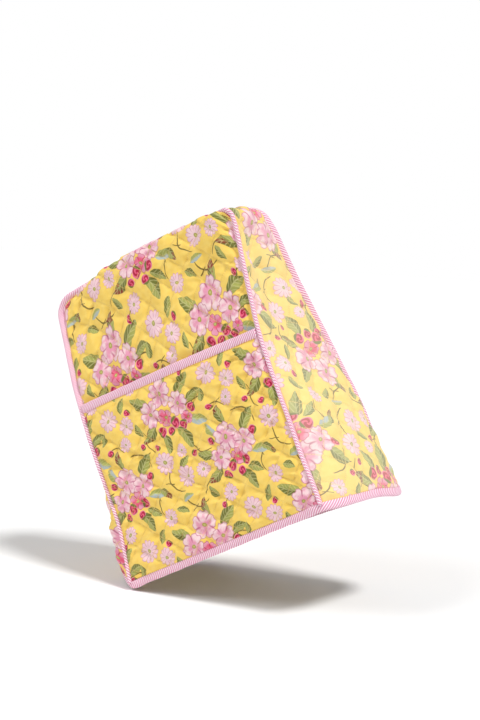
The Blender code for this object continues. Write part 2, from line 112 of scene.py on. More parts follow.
class Curve:
    # a smooth line through a few points, read by its share of the length
    def __init__(self, points):
        p = np.array(points, dtype=float)
        knots = np.concatenate(([0.0], np.cumsum(np.linalg.norm(np.diff(p, axis=0), axis=1))))
        t = np.linspace(0.0, knots[-1], 401)
        i = np.clip(np.searchsorted(knots, t) - 1, 0, len(p) - 2)
        before = np.maximum(i - 1, 0)
        after = np.minimum(i + 2, len(p) - 1)
        gap = (knots[i + 1] - knots[i])[:, None]
        f = (t - knots[i])[:, None] / gap
        slopeIn = (p[i + 1] - p[before]) / (knots[i + 1] - knots[before])[:, None] * gap
        slopeOut = (p[after] - p[i]) / (knots[after] - knots[i])[:, None] * gap
        self.line = ((2 * f ** 3 - 3 * f ** 2 + 1) * p[i] + (f ** 3 - 2 * f ** 2 + f) * slopeIn
                     + (3 * f ** 2 - 2 * f ** 3) * p[i + 1] + (f ** 3 - f ** 2) * slopeOut)
        steps = np.linalg.norm(np.diff(self.line, axis=0), axis=1)
        self.run = np.concatenate(([0.0], np.cumsum(steps)))
        self.length = float(self.run[-1])

    def at(self, share):
        t = np.asarray(share, dtype=float) * self.length
        return np.stack([np.interp(t, self.run, self.line[:, k]) for k in range(3)], axis=-1)


def cornerPoints(cx, cz, radius, startDegrees, endDegrees):
    turns = np.radians(np.linspace(startDegrees, endDegrees, 7))
    return [(cx + radius * math.cos(a), cz + radius * math.sin(a)) for a in turns]


def topPull(x, side):
    # how far the top seam is drawn in over the top, nought at the corners
    frontEnd = 0.178 if side < 0 else 0.163
    return smooth((x + 0.162) / 0.045) * smooth((frontEnd - x) / 0.032)


def outline(side):
    # the seam of one side in three parts: rear edge, top edge, front edge
    near = side < 0
    lowest = cover["lowestCloth"]
    rearEdge = [(-0.182, lowest - 0.0045 if near else lowest + 0.0060), (-0.176, 0.045),
                (-0.170, 0.088), (-0.171, 0.130), (-0.174, 0.180), (-0.176, 0.225),
                (-0.177, 0.300), (-0.175, 0.345), (-0.172, 0.385)]
    frontEdge = [(0.182, lowest - 0.0015), (0.181, 0.040), (0.178, 0.080), (0.177, 0.125),
                 (0.174, 0.175), (0.172, 0.225), (0.172, 0.265), (0.174, 0.305),
                 (0.178, 0.360), (0.181, 0.400)]
    rearRadius = cover["rearCornerRadius"] * (1.0 if near else 1.1)
    frontRadius = cover["frontCornerRadius"] * (1.0 if near else 2.1)
    rearTop = cover["sideHeight"] - 0.003
    frontTop = cover["sideHeight"] + (0.0 if near else 0.0045)
    frontX = 0.182 if near else 0.171
    rearCorner = cornerPoints(rearRadius - 0.171, rearTop - rearRadius, rearRadius, 180, 90)
    frontCorner = cornerPoints(frontX - frontRadius, frontTop - frontRadius, frontRadius, 90, 0)
    if not near:
        rearEdge = [(x + 0.003 * math.sin(z * 21.0), z) for x, z in rearEdge]
        frontEdge = [(x - 0.009 * smooth((z - 0.20) / 0.22) - 0.006 * smooth((0.16 - z) / 0.14),
                      z - 0.0030 * smooth((0.05 - z) / 0.04)) for x, z in frontEdge]
    top = rearCorner[3:]
    for x in (-0.10, -0.05, 0.0, 0.05, 0.10):
        rise = cover["topArch"] * (1.0 - (x / 0.17) ** 2) + 0.014 * x
        top.append((x, cover["sideHeight"] + rise - 0.0015 * math.sin(x * 30.0 + side)))
    top += frontCorner[:4]

    def lift(flat, onTop):
        points = []
        for x, z in flat:
            depth = halfDepth(z) * (1.0 if near else 1.0 - 0.09 * smooth((z - 0.2) / 0.2))
            if onTop:
                depth += (cover["seamHalfDepthOnTop"] - depth) * topPull(x, side)
            points.append((x, side * depth - cover["lean"] * z, z))
        return points

    return (Curve(lift(rearEdge + rearCorner[:4], False)), Curve(lift(top, True)),
            Curve(lift(frontCorner[3:] + frontEdge[::-1], False)))


seams = {-1: outline(-1), 1: outline(1)}


def seamAt(side, share):
    # shares run 0 to 1 up the rear, 1 to 2 over the top and 2 to 3 down the front
    share = np.asarray(share, dtype=float)
    part = np.minimum(share.astype(int), 2)
    parts = [seams[side][k].at(share - k) for k in range(3)]
    return np.choose(part[..., None], parts)


def gussetRun():
    # the gusset's length and the places of its two corners along it
    spans = [(seams[-1][k].length + seams[1][k].length) / 2 for k in range(3)]
    return np.concatenate(([0.0], np.cumsum(spans)))


cornersAlong = gussetRun()


def gussetShare(v):
    return np.interp(v * cornersAlong[-1], cornersAlong, (0.0, 1.0, 2.0, 3.0))


def panelEdges(side, inset):
    # the edges of a side panel where it enters its binding, by the seam's shares
    share = np.linspace(0.0, 3.0, 337)
    s = seamAt(side, share)
    run = seamAt(side, np.minimum(share + 0.03, 3.0)) - seamAt(side, np.maximum(share - 0.03, 0.0))
    inward = unit(np.cross(run, (0.0, float(side), 0.0)) * -side)
    onTop = (share > 1.0) & (share < 2.0)
    pull = np.where(onTop, topPull(s[:, 0], side), 0.0)[:, None]
    inward = unit(inward * (1.0 - 0.8 * pull) + np.array((0.0, side, 0.0)) * pull)
    return share, s + inward * inset


edgeLines = {side: panelEdges(side, cover["panelInset"]) for side in (-1, 1)}


def edgeAt(side, share):
    shares, points = edgeLines[side]
    return np.stack([np.interp(share, shares, points[:, k]) for k in range(3)], axis=-1)


def panelBase(side, u, v):
    # a side panel hung between its four edges; u runs rear to front, v hem to top
    left = edgeAt(side, v)
    right = edgeAt(side, 3.0 - v)
    upper = edgeAt(side, 1.0 + u)
    cornerA = edgeAt(side, 1.0)
    cornerB = edgeAt(side, 2.0)
    cornerLine = cornerA + (cornerB - cornerA) * u[..., None]
    p = left + (right - left) * u[..., None]
    p = p + smooth((v - 0.55) / 0.45)[..., None] * (upper - cornerLine)
    if side > 0:
        p[..., 2] += cover["farHemArch"] * np.sin(math.pi * u) * (1.0 - smooth(v / 0.5))
    # near the top the padded side rolls up and over, standing above its own seam
    sides = smooth(u / 0.28) * smooth((1.0 - u) / (0.08 if side < 0 else 0.14))
    sides = sides * (1.0 if side < 0 else 0.6)
    rise = 1.0 - np.maximum(1.0 - (1.0 - v) / 0.055, 0.0) ** 2
    swing = 1.0 - np.maximum(1.0 - (1.0 - v) / 0.065, 0.0) ** 2
    p[..., 2] += cover["topRoll"] * smooth((v - 0.60) / 0.30) * rise * sides
    p[..., 1] += side * cover["rollOutwards"] * smooth((v - 0.78) / 0.14) * swing * sides
    # soft unevenness of hung cloth
    swell = np.sin(math.pi * u) * np.sin(math.pi * np.minimum(v * 1.02, 1.0))
    wave = 0.0015 * np.sin(9.0 * u + 5.0 * v + side) + 0.0011 * np.sin(4.0 * u - 11.0 * v)
    hold = np.sin(math.pi * u) * np.sqrt(np.maximum(np.sin(math.pi * v), 0.0))
    p[..., 1] += side * (0.0050 * swell + wave * hold)
    return p


def rearBulge(z):
    return np.interp(z, (0.0, 0.04, 0.085, 0.126, 0.175, 0.225, 0.28, 0.36, 0.42),
                     (0.035, 0.037, 0.041, 0.031, 0.022, 0.013, 0.007, 0.003, 0.004))


def frontBulge(z):
    return np.interp(z, (0.0, 0.06, 0.14, 0.20, 0.26, 0.34, 0.42),
                     (0.027, 0.026, 0.020, 0.012, 0.004, -0.001, 0.001))


def gussetBase(share, w):
    # share runs 0 to 3 around the seam, w runs -1 on the near seam to 1 on the far seam
    a = seamAt(-1, share)
    b = seamAt(1, share)
    p = a + (b - a) * ((w + 1.0) * 0.5)[..., None]
    low = np.maximum(share - 0.01, 0.0)
    high = np.minimum(share + 0.01, 3.0)
    run = seamAt(-1, high) + seamAt(1, high) - seamAt(-1, low) - seamAt(1, low)
    out = unit(np.stack([-run[..., 2], np.zeros_like(share), run[..., 0]], axis=-1))
    z = p[..., 2].copy()
    soft = 1.0 - w * w
    # rear: full and round low down, its hem curling up
    fullness = np.interp(z, (0.0, 0.09, 0.16), (9.0, 8.0, 5.0))
    rear = rearBulge(z) * (1.0 - np.abs(w) ** fullness) + 0.004 * soft * np.sin(z * 26.0 + 2.0 * w)
    rearLift = 0.029 * bell(z, 0.0, 0.080) * (1.0 - np.abs(w) ** 5.0) * (1.0 - 0.22 * (w + 1.0))
    top = 0.004 * soft * (1.0 + 0.5 * np.sin(p[..., 0] * 24.0))
    # front: one long crease from the top that slants to the far seam, and a softer one beside it
    crease = np.interp(z, (0.14, 0.20, 0.25, 0.42), (0.62, 0.30, -0.12, -0.20))
    depth = np.interp(z, (0.13, 0.20, 0.27, 0.37, 0.415, 0.43), (0.0, 0.007, 0.013, 0.012, 0.007, 0.0))
    second = np.interp(z, (0.10, 0.24, 0.34), (0.30, -0.55, -0.68))
    secondDepth = np.interp(z, (0.10, 0.17, 0.24, 0.33), (0.0, 0.004, 0.005, 0.0))
    ridge = np.interp(z, (0.20, 0.28, 0.40), (0.0, 0.004, 0.0))
    front = (frontBulge(z) * (1.0 - np.abs(w) ** 4.5) - depth * bell(w, crease, 0.34)
             - secondDepth * bell(w, second, 0.25) + ridge * bell(w, crease + 0.55, 0.28)
             + 0.003 * soft * np.sin(z * 31.0 + 1.6 * w))
    frontLift = -bell(z, 0.0, 0.07) * (0.004 * (1.0 - w ** 4)
                                       + 0.007 * bell(w, 0.65, 0.40) * (1.0 - w ** 6))
    onRear = share < 1.0
    onFront = share >= 2.0
    amount = np.where(onRear, rear, np.where(onFront, front, top))
    p[..., 2] += np.where(onRear, rearLift, np.where(onFront, frontLift, 0.0))
    blend = np.minimum(smooth(np.abs(share - 1.0) / 0.07), smooth(np.abs(share - 2.0) / 0.07))
    return p + out * (amount * blend + 0.004 * soft * (1.0 - blend))[..., None]


def gussetInsets(share, inset):
    # the shares of w at which the gusset enters its two bindings, by true distance
    found = []
    for side in (-1.0, 1.0):
        s = gussetBase(share, np.full_like(share, side))
        low = np.zeros_like(share)
        high = np.full_like(share, 0.3)
        for _ in range(16):
            mid = (low + high) / 2
            short = np.linalg.norm(gussetBase(share, side * (1.0 - mid)) - s, axis=-1) < inset
            low = np.where(short, mid, low)
            high = np.where(short, high, mid)
        found.append(low)
    return found


# unevenness that is the same at every run
def cloudNoise(x, y, seed):
    # soft random hills between -1 and 1 with a pitch of one
    table = np.random.RandomState(seed).uniform(-1.0, 1.0, (64, 64))
    i = np.floor(x).astype(int)
    j = np.floor(y).astype(int)
    f = smooth(x - i)
    g = smooth(y - j)
    a = table[i % 64, j % 64] * (1.0 - f) + table[(i + 1) % 64, j % 64] * f
    b = table[i % 64, (j + 1) % 64] * (1.0 - f) + table[(i + 1) % 64, (j + 1) % 64] * f
    return a * (1.0 - g) + b * g


quilt = {
    "cellWidth": 0.0523,
    "cellHeight": 0.0452,
    "gussetCell": 0.0500,
    "gussetGrain": 14.0,  # degrees off the length of the gusset
    "puffHeight": 0.0044,
    "puckerHeight": 0.0028,
    "puckerLength": 0.023,
    "puckerPitch": 0.0100,
    "stitches": 72.0,  # radians of stitching along one side of a diamond
    "weave": 12500.0,  # radians to a metre
}


def lattice(across, along, width, height):
    return across / width + along / height, across / width - along / height


def pillow(p, q, seed):
    # nought on the stitch lines, one in the middle of a diamond, each diamond a little different
    full = (np.abs(np.sin(math.pi * p)) * np.abs(np.sin(math.pi * q))) ** 0.55
    table = np.random.RandomState(seed).uniform(0.78, 1.12, (32, 32))
    return full * table[np.floor(p).astype(int) % 32, np.floor(q).astype(int) % 32]


def puckers(across, along, p, q, seed):
    # short ripples drawn in along the stitch lines, running with the hem
    bend = 0.006 * cloudNoise(across / 0.035, along / 0.035, seed + 5)
    x = across / quilt["puckerLength"]
    y = (along + bend) / quilt["puckerPitch"]
    ripple = 1.0 - 2.2 * np.abs(cloudNoise(x, y, seed))
    fine = cloudNoise(across / 0.009, (along + bend) / 0.0042, seed + 1)
    stitched = np.minimum(np.abs(np.sin(math.pi * p)), np.abs(np.sin(math.pi * q)))
    near = 0.35 + 0.65 * np.exp(-(stitched / 0.45) ** 2)
    return quilt["puckerHeight"] * near * (0.75 * ripple + 0.30 * fine)


# meshes
def gridObject(name, points, clothMap, quiltMap, outward, paintedLight=None):
    # a grid of cloth laid on rows of points; outward is -1 where the rows run the other way round
    nu, nv = points.shape[:2]
    bm = bmesh.new()
    bmesh.ops.create_grid(bm, x_segments=nu - 1, y_segments=nv - 1, size=0.5)
    if outward < 0:
        bmesh.ops.reverse_faces(bm, faces=bm.faces)
    mesh = bpy.data.meshes.new(name)
    bm.to_mesh(mesh)
    bm.free()
    flat = np.zeros(len(mesh.vertices) * 3)
    mesh.vertices.foreach_get("co", flat)
    flat = flat.reshape(-1, 3)
    i = np.rint((flat[:, 0] + 0.5) * (nu - 1)).astype(int)
    j = np.rint((flat[:, 1] + 0.5) * (nv - 1)).astype(int)
    mesh.vertices.foreach_set("co", points[i, j].ravel())
    if paintedLight is not None:
        # painted light: how much paler the cloth is painted where the light falls strongest
        layer = mesh.attributes.new("paintedLight", "FLOAT", "POINT")
        layer.data.foreach_set("value", paintedLight[i, j])
    corners = np.zeros(len(mesh.loops), dtype=int)
    mesh.loops.foreach_get("vertex_index", corners)
    for mapName, values in (("cloth", clothMap), ("quilt", quiltMap)):
        layer = mesh.uv_layers.new(name=mapName)
        layer.data.foreach_set("uv", values[i[corners], j[corners]].ravel())
    mesh.update()
    thing = bpy.data.objects.new(name, mesh)
    bpy.context.scene.collection.objects.link(thing)
    return thing


def outwardNormals(points, outward):
    across = np.gradient(points, axis=0)
    along = np.gradient(points, axis=1)
    return unit(np.cross(across, along)) * outward


def clothSheet(name, base, relief, maps, outward, materials, paintedLight=None):
    # a quilted sheet: its relief raised along the cloth's own normals, then given its thickness
    n = outwardNormals(base, outward)
    points = toRow(base + n * relief[..., None])
    thing = gridObject(name, points, maps[0], maps[1], outward, paintedLight)
    thickness = thing.modifiers.new("thickness", "SOLIDIFY")
    thickness.thickness = cover["clothThickness"]
    thickness.offset = -1.0
    thickness.material_offset = 1
    for material in materials:
        thing.data.materials.append(material)
    thing.data.polygons.foreach_set("use_smooth", [True] * len(thing.data.polygons))
    return thing


def tube(name, points, maps, material, closed):
    # a rounded strip: rows of points around it, joined along its length
    thing = gridObject(name, toRow(points), maps, maps, 1)
    bm = bmesh.new()
    bm.from_mesh(thing.data)
    bmesh.ops.remove_doubles(bm, verts=bm.verts, dist=0.00002)
    if not closed:
        bmesh.ops.holes_fill(bm, edges=[e for e in bm.edges if e.is_boundary])
    bmesh.ops.recalc_face_normals(bm, faces=bm.faces)
    bm.to_mesh(thing.data)
    bm.free()
    thing.data.materials.append(material)
    thing.data.polygons.foreach_set("use_smooth", [True] * len(thing.data.polygons))
    return thing


def uvGrid(us, vs):
    return np.meshgrid(us, vs, indexing="ij")


# shader maths as Python expressions
class Wire:
    # one socket of a material's tree
    def __init__(self, tree, socket):
        self.tree = tree
        self.socket = socket

    def node(self, kind, settings, values, output=0):
        made = self.tree.nodes.new(kind)
        for name, value in settings.items():
            setattr(made, name, value)
        for name, value in values.items():
            if isinstance(value, Wire):
                self.tree.links.new(value.socket, made.inputs[name])
            else:
                made.inputs[name].default_value = value
        return Wire(self.tree, made.outputs[output])

    def math(self, operation, *others):
        return self.node("ShaderNodeMath", {"operation": operation}, dict(enumerate((self,) + others)))

    def vector(self, operation, values, output=0):
        return self.node("ShaderNodeVectorMath", {"operation": operation}, {0: self, **values}, output)

    def __add__(self, other):
        return self.math("ADD", other)

    __radd__ = __add__

    def __mul__(self, other):
        return self.math("MULTIPLY", other)

    __rmul__ = __mul__

    def __sub__(self, other):
        return self.math("SUBTRACT", other)

    def __rsub__(self, other):
        return (self * -1.0).math("ADD", other)

    def __pow__(self, other):
        return self.math("POWER", other)

    def __abs__(self):
        return self.math("ABSOLUTE")

    def sine(self):
        return self.math("SINE")

    def cosine(self):
        return self.math("COSINE")

    def ramp(self, start, end):
        # a soft step from 0 at start to 1 at end, either way round
        low, high = min(start, end), max(start, end)
        step = {"interpolation_type": "SMOOTHSTEP", "clamp": False}
        ends = {"To Min": 0.0, "To Max": 1.0} if start < end else {"To Min": 1.0, "To Max": 0.0}
        values = {"Value": self, "From Min": low, "From Max": high, **ends}
        return self.node("ShaderNodeMapRange", step, values)

    def over(self, mask, colour):
        # this colour with another laid over it where the mask is 1
        return self.node("ShaderNodeMix", {"data_type": "RGBA"}, {0: mask, 6: self, 7: colour}, 2)

    def split(self):
        # how far along X and along Y
        ways = ((1.0, 0.0, 0.0), (0.0, 1.0, 0.0))
        return tuple(self.vector("DOT_PRODUCT", {1: way}, 1) for way in ways)


def paint(red, green, blue):
    # a screen colour from 0 to 255, as the linear value that a shader wants
    values = [c / 255.0 for c in (red, green, blue)]
    return tuple(c / 12.92 if c <= 0.04045 else ((c + 0.055) / 1.055) ** 2.4 for c in values) + (1.0,)


def newMaterial(name):
    material = bpy.data.materials.new(name)
    material.use_nodes = True
    tree = material.node_tree
    shader = tree.nodes["Principled BSDF"]
    return material, tree, shader


def uvWire(tree, mapName):
    made = tree.nodes.new("ShaderNodeUVMap")
    made.uv_map = mapName
    return Wire(tree, made.outputs[0])


# the print: flowers charted one by one on one repeat, in millimetres
floral = {
    "repeat": 212.0,
    "ground": paint(246, 208, 98),
    "groundLight": paint(249, 218, 122),
    "dipShade": paint(206, 158, 58),
    "thread": paint(252, 232, 150),
    # painted light: the pale tint laid over the gusset's brightly lit front
    "paintedLightTint": paint(252, 246, 226),
    "petal": paint(244, 212, 214),
    "petalPink": paint(230, 156, 180),
    "petalLine": paint(178, 72, 116),
    "daisy": paint(238, 200, 208),
    "daisyLine": paint(188, 104, 142),
    "centre": paint(168, 160, 70),
    "bud": paint(232, 96, 128),
    "budDark": paint(176, 28, 62),
    "leaf": paint(164, 166, 86),
    "leafDark": paint(116, 118, 54),
    "leafVein": paint(208, 204, 140),
    "leafRust": paint(142, 62, 44),
    "leafGrey": paint(172, 184, 186),
    "stem": paint(112, 96, 46),
}

# across, up, size (half the width), turn in degrees; a leaf's last number is its kind
stemChart = [
    (112, 132, 24, 20), (12, 108, 22, 75), (196, 88, 24, -40), (100, 66, 22, 140), (152, 116, 18, -10),
    (62, 202, 22, 165), (206, 14, 20, 60), (122, 190, 20, 30), (30, 30, 22, 118), (96, 8, 20, 15),
]
leafChart = [
    (104, 168, 21, 38, 0), (14, 166, 20, 150, 0), (18, 114, 19, 214, 1), (82, 92, 21, -66, 0),
    (114, 108, 18, -24, 2), (70, 190, 17, 84, 1), (120, 146, 16, 10, 0), (44, 92, 17, 262, 0),
    (196, 78, 20, 44, 0), (112, 16, 19, 205, 1), (172, 206, 20, -62, 0), (106, 50, 17, 160, 0),
    (204, 28, 17, -14, 2), (152, 98, 17, 96, 1), (186, 6, 15, -30, 0), (128, 82, 15, 128, 2),
    (188, 176, 13, 62, 0), (94, 208, 12, 120, 0), (60, 56, 12, 50, 0), (6, 24, 13, -50, 1),
    (134, 138, 11, 250, 0), (208, 128, 12, 100, 0), (46, 4, 12, 10, 2), (30, 202, 12, 330, 0),
]
daisyChart = [
    (156, 164, 18, 8), (188, 144, 15, 30), (24, 66, 18, 12), (56, 34, 17, 40), (126, 198, 14, 20),
    (2, 198, 14, 0), (90, 34, 13, 26), (176, 118, 12, 50), (62, 74, 10, 14),
]
blossomChart = [
    (60, 168, 24, 10), (30, 144, 22, 48), (88, 142, 21, 80), (152, 64, 24, 22), (180, 48, 21, 60),
    (130, 38, 20, 5),
]
pinkChart = [
    (56, 130, 15, 32), (160, 30, 15, 70), (96, 116, 11, 10),
]
budChart = [
    (72, 116, 9.5, 200), (42, 112, 8.5, 300), (110, 128, 8, 100), (58, 108, 7.5, 30), (84, 108, 7, 140),
    (146, 20, 9, 150), (174, 22, 8.5, 260), (200, 58, 7.5, 60), (132, 12, 7, 330), (160, 8, 7, 20),
    (122, 66, 6.5, 100), (140, 116, 6, 40), (196, 162, 5.5, 120), (84, 62, 6, 220), (208, 104, 5.5, 10),
    (20, 92, 5.5, 60), (108, 184, 5.5, 70),
]


def newGroup(name, colours, numbers):
    # a motif that the print uses many times: what lies below it goes in, and the two together come out
    group = bpy.data.node_groups.new(name, "ShaderNodeTree")
    kinds = {"Below": "Color", "Place": "Vector", "Spot": "Vector", "Across": "Vector", "Up": "Vector",
             "Wash": "Float", "Per size": "Float"}
    kinds.update({socketName: "Color" for socketName in colours})
    kinds.update({socketName: "Float" for socketName in numbers})
    for socketName, kind in kinds.items():
        group.interface.new_socket(socketName, in_out="INPUT", socket_type="NodeSocket" + kind)
    group.interface.new_socket("Colour", in_out="OUTPUT", socket_type="NodeSocketColor")
    entry = group.nodes.new("NodeGroupInput")
    return group, {socketName: Wire(group, entry.outputs[socketName]) for socketName in kinds}


def closeGroup(group, colour):
    leave = group.nodes.new("NodeGroupOutput")
    group.links.new(colour.socket, leave.inputs[0])
    return group


def motifPlace(given):
    # a motif's own place across and up, in shares of its size, and how far out from its middle
    half = floral["repeat"] / 2
    apart = given["Place"].vector("SUBTRACT", {1: given["Spot"]})
    wrapped = apart.vector("WRAP", {1: (half, half, half), 2: (-half, -half, -half)})
    x = wrapped.vector("DOT_PRODUCT", {1: given["Across"]}, 1)
    y = wrapped.vector("DOT_PRODUCT", {1: given["Up"]}, 1)
    return x, y, wrapped.vector("LENGTH", {}, 1) * given["Per size"]


def twoTone(given, mask, below, above):
    # the first colours of a motif, laid one over the other
    return given["Wash"].node("ShaderNodeMix", {"data_type": "RGBA"}, {0: mask, 6: below, 7: above}, 2)


def stemGroup():
    group, given = newGroup("stemMotif", [], [])
    x, y = motifPlace(given)[:2]
    bow = abs(y - (x * x * -0.55 + 0.25))
    twig = abs(y - (x * 0.9 + 0.05)).ramp(0.06, 0.02) * abs(x - 0.3).ramp(0.3, 0.25)
    line = bow.ramp(0.07, 0.025).math("MAXIMUM", twig) * abs(x).ramp(1.0, 0.9)
    return closeGroup(group, given["Below"].over(line, floral["stem"]))


def leafGroup():
    group, given = newGroup("leafMotif", ["Light", "Dark"], ["Rust"])
    x, y = motifPlace(given)[:2]
    bent = y + x * x * 0.16
    side = abs(bent)
    reach = (1.0 - x * x).math("MAXIMUM", 0.0)
    inside = reach ** 0.8 * 0.46 - side + (x * 9.0).sine() * 0.02
    body = twoTone(given, (bent + given["Wash"] * 0.5).ramp(0.12, 0.34), given["Light"], given["Dark"])
    body = body.over((given["Wash"] + x * 0.25).ramp(0.52, 0.68) * given["Rust"], floral["leafRust"])
    veins = ((x - side * 1.3) * 17.0).sine().ramp(0.55, 0.95)
    body = body.over(veins.math("MAXIMUM", side.ramp(0.06, 0.02)) * 0.55, floral["leafVein"])
    body = body.over(inside.ramp(0.07, 0.02) * 0.6, given["Dark"])
    return closeGroup(group, given["Below"].over(inside.ramp(0.0, 0.05), body))


def flowerGroup():
    group, given = newGroup("flowerMotif", ["Body", "Inner", "Line"], ["Petals", "Notch", "Heart"])
    x, y, r = motifPlace(given)
    angle = y.math("ARCTAN2", x) * given["Petals"]
    lobe = abs((angle * 0.5).cosine())
    inside = lobe ** 0.45 * 0.34 + 0.66 - lobe.ramp(0.9, 1.0) * given["Notch"] - r
    shade = (given["Wash"] * 1.1 - r * 0.45).ramp(0.16, 0.50)
    tone = twoTone(given, shade, given["Body"], given["Inner"])
    gaps = lobe.ramp(0.32, 0.06) * r.ramp(0.18, 0.5)
    veins = abs((angle * 2.5).cosine()).ramp(0.92, 1.0) * r.ramp(0.75, 0.3)
    tone = tone.over(gaps * 0.8 + veins * 0.35, given["Line"])
    tone = tone.over(inside.ramp(0.12, 0.04) * 0.75, given["Line"])
    heart = r - given["Heart"]
    tone = tone.over(heart.ramp(0.0, -0.05), floral["centre"])
    tone = tone.over(heart.ramp(-0.08, -0.13) * 0.7, floral["leafVein"])
    return closeGroup(group, given["Below"].over(inside.ramp(0.0, 0.05), tone))


def budGroup():
    group, given = newGroup("budMotif", [], [])
    x, y, r = motifPlace(given)
    r = r + y * 0.14
    swirl = (y.math("ARCTAN2", x) * 2.0 + r * 7.5).sine()
    tone = twoTone(given, swirl.ramp(-0.25, 0.45), floral["budDark"], floral["bud"])
    tone = tone.over(r.ramp(0.72, 0.9) * 0.75, floral["petalPink"])
    tone = tone.over(y.ramp(-0.52, -0.72), floral["leafDark"])
    return closeGroup(group, given["Below"].over(r.ramp(1.0, 0.9), tone))


def printed():
    material, tree, shader = newMaterial("quiltedPrint")
    cloth = uvWire(tree, "cloth")
    p, q = uvWire(tree, "quilt").split()
    hand = cloth.node("ShaderNodeTexNoise", {}, {"Vector": cloth, "Scale": 55.0, "Detail": 1.0}, 1)
    place = cloth.vector("MULTIPLY", {1: (1000.0, 1000.0, 0.0)})
    place = hand.vector("MULTIPLY_ADD", {1: (7.0, 7.0, 0.0), 2: place})
    wash = cloth.node("ShaderNodeTexNoise", {}, {"Vector": cloth, "Scale": 95.0, "Detail": 2.0})
    tones = {0: wash.ramp(0.35, 0.75) * 0.6, 6: floral["ground"], 7: floral["groundLight"]}
    colour = wash.node("ShaderNodeMix", {"data_type": "RGBA"}, tones, 2)

    def lay(group, colour, x, y, size, turn, values):
        c = math.cos(math.radians(turn)) / size
        s = math.sin(math.radians(turn)) / size
        spot = {"Spot": (x, y, 0.0), "Across": (c, s, 0.0), "Up": (-s, c, 0.0), "Per size": 1.0 / size}
        below = {"Below": colour, "Place": place, "Wash": wash}
        return colour.node("ShaderNodeGroup", {"node_tree": group}, {**below, **spot, **values})

    group = stemGroup()
    for x, y, size, turn in stemChart:
        colour = lay(group, colour, x, y, size, turn, {})
    group = leafGroup()
    for x, y, size, turn, kind in leafChart:
        shades = ("leafGrey", "leaf") if kind == 2 else ("leaf", "leafDark")
        values = {"Light": floral[shades[0]], "Dark": floral[shades[1]], "Rust": float(kind == 1)}
        colour = lay(group, colour, x, y, size, turn, values)
    group = flowerGroup()
    daisy = {"Body": floral["daisy"], "Inner": floral["petal"], "Line": floral["daisyLine"],
             "Petals": 12.0, "Notch": 0.0, "Heart": 0.20}
    for x, y, size, turn in daisyChart:
        colour = lay(group, colour, x, y, size, turn, daisy)
    blossom = {"Body": floral["petal"], "Inner": floral["petalPink"], "Line": floral["petalLine"],
               "Petals": 5.0, "Notch": 0.10, "Heart": 0.17}
    for x, y, size, turn in blossomChart:
        colour = lay(group, colour, x, y, size, turn, blossom)
    deep = {"Body": floral["petalPink"], "Inner": floral["bud"], "Line": floral["budDark"],
            "Petals": 5.0, "Notch": 0.06, "Heart": 0.20}
    for x, y, size, turn in pinkChart:
        colour = lay(group, colour, x, y, size, turn, deep)
    group = budGroup()
    for x, y, size, turn in budChart:
        colour = lay(group, colour, x, y, size, turn, {})
    # quilting thread in its dips, and painted shade making the cloth a little darker there
    nearP = p.math("PINGPONG", 0.5)
    nearQ = q.math("PINGPONG", 0.5)
    dip = nearP.math("MINIMUM", nearQ)
    colour = colour.over(dip.ramp(0.05, 0.0) * 0.30, floral["dipShade"])
    threadP = nearP.ramp(0.014, 0.007) * (q * quilt["stitches"]).sine().ramp(-0.6, -0.2)
    threadQ = nearQ.ramp(0.014, 0.007) * (p * quilt["stitches"]).sine().ramp(-0.6, -0.2)
    thread = threadP.math("MAXIMUM", threadQ)
    colour = colour.over(thread * 0.55, floral["thread"])
    # painted light: the gusset's front painted paler, standing in for the strong light on it
    paintedLightShare = colour.node("ShaderNodeAttribute", {"attribute_name": "paintedLight"}, {}, 2)
    colour = colour.over(paintedLightShare, floral["paintedLightTint"])
    tree.links.new(colour.socket, shader.inputs["Base Color"])
    across, along = cloth.split()
    weave = (across * quilt["weave"]).sine() * (along * quilt["weave"]).sine()
    height = weave * 0.10 + wash * 0.6 + thread * 0.7 + dip.ramp(0.0, 0.03) * 1.4
    bump = colour.node("ShaderNodeBump", {}, {"Height": height, "Strength": 0.5, "Distance": 0.0004})
    tree.links.new(bump.socket, shader.inputs["Normal"])
    tree.links.new((wash * 0.14 + 0.74).socket, shader.inputs["Roughness"])
    shader.inputs["Sheen Weight"].default_value = 0.15
    shader.inputs["Sheen Roughness"].default_value = 0.5
    shader.inputs["Specular IOR Level"].default_value = 0.25
    return material


# the inner face of the quilted cloth
backingCloth = {"light": paint(240, 226, 186), "dark": paint(226, 208, 160), "weave": 9000.0}


def plainBacking():
    material, tree, shader = newMaterial("plainBacking")
    cloth = uvWire(tree, "cloth")
    across, along = cloth.split()
    weave = (across * backingCloth["weave"]).sine() * (along * backingCloth["weave"]).sine()
    tone = cloth.node("ShaderNodeTexNoise", {}, {"Vector": cloth, "Scale": 30.0, "Detail": 3.0})
    tones = {0: tone.ramp(0.3, 0.8) * 0.4, 6: backingCloth["light"], 7: backingCloth["dark"]}
    colour = tone.node("ShaderNodeMix", {"data_type": "RGBA"}, tones, 2)
    tree.links.new(colour.socket, shader.inputs["Base Color"])
    relief = {"Height": weave * 0.4 + tone, "Strength": 0.4, "Distance": 0.0003}
    bump = colour.node("ShaderNodeBump", {}, relief)
    tree.links.new(bump.socket, shader.inputs["Normal"])
    shader.inputs["Roughness"].default_value = 0.9
    return material


binding = {
    "height": 0.0105,
    "thickness": 0.0064,
    "hemHeight": 0.0120,
    "hemThickness": 0.0072,
    "pocketHeight": 0.0130,
    "pocketThickness": 0.0052,
    "stripePitch": 0.0031,
    "pink": paint(222, 140, 174),
    "white": paint(247, 226, 234),
    "rubbed": paint(226, 150, 178),
    "weave": 9000.0,  # radians to a metre
    "around": 20,
    "seamRows": 660,
    "pocketRows": 230,
    "hemRows": 620,
}


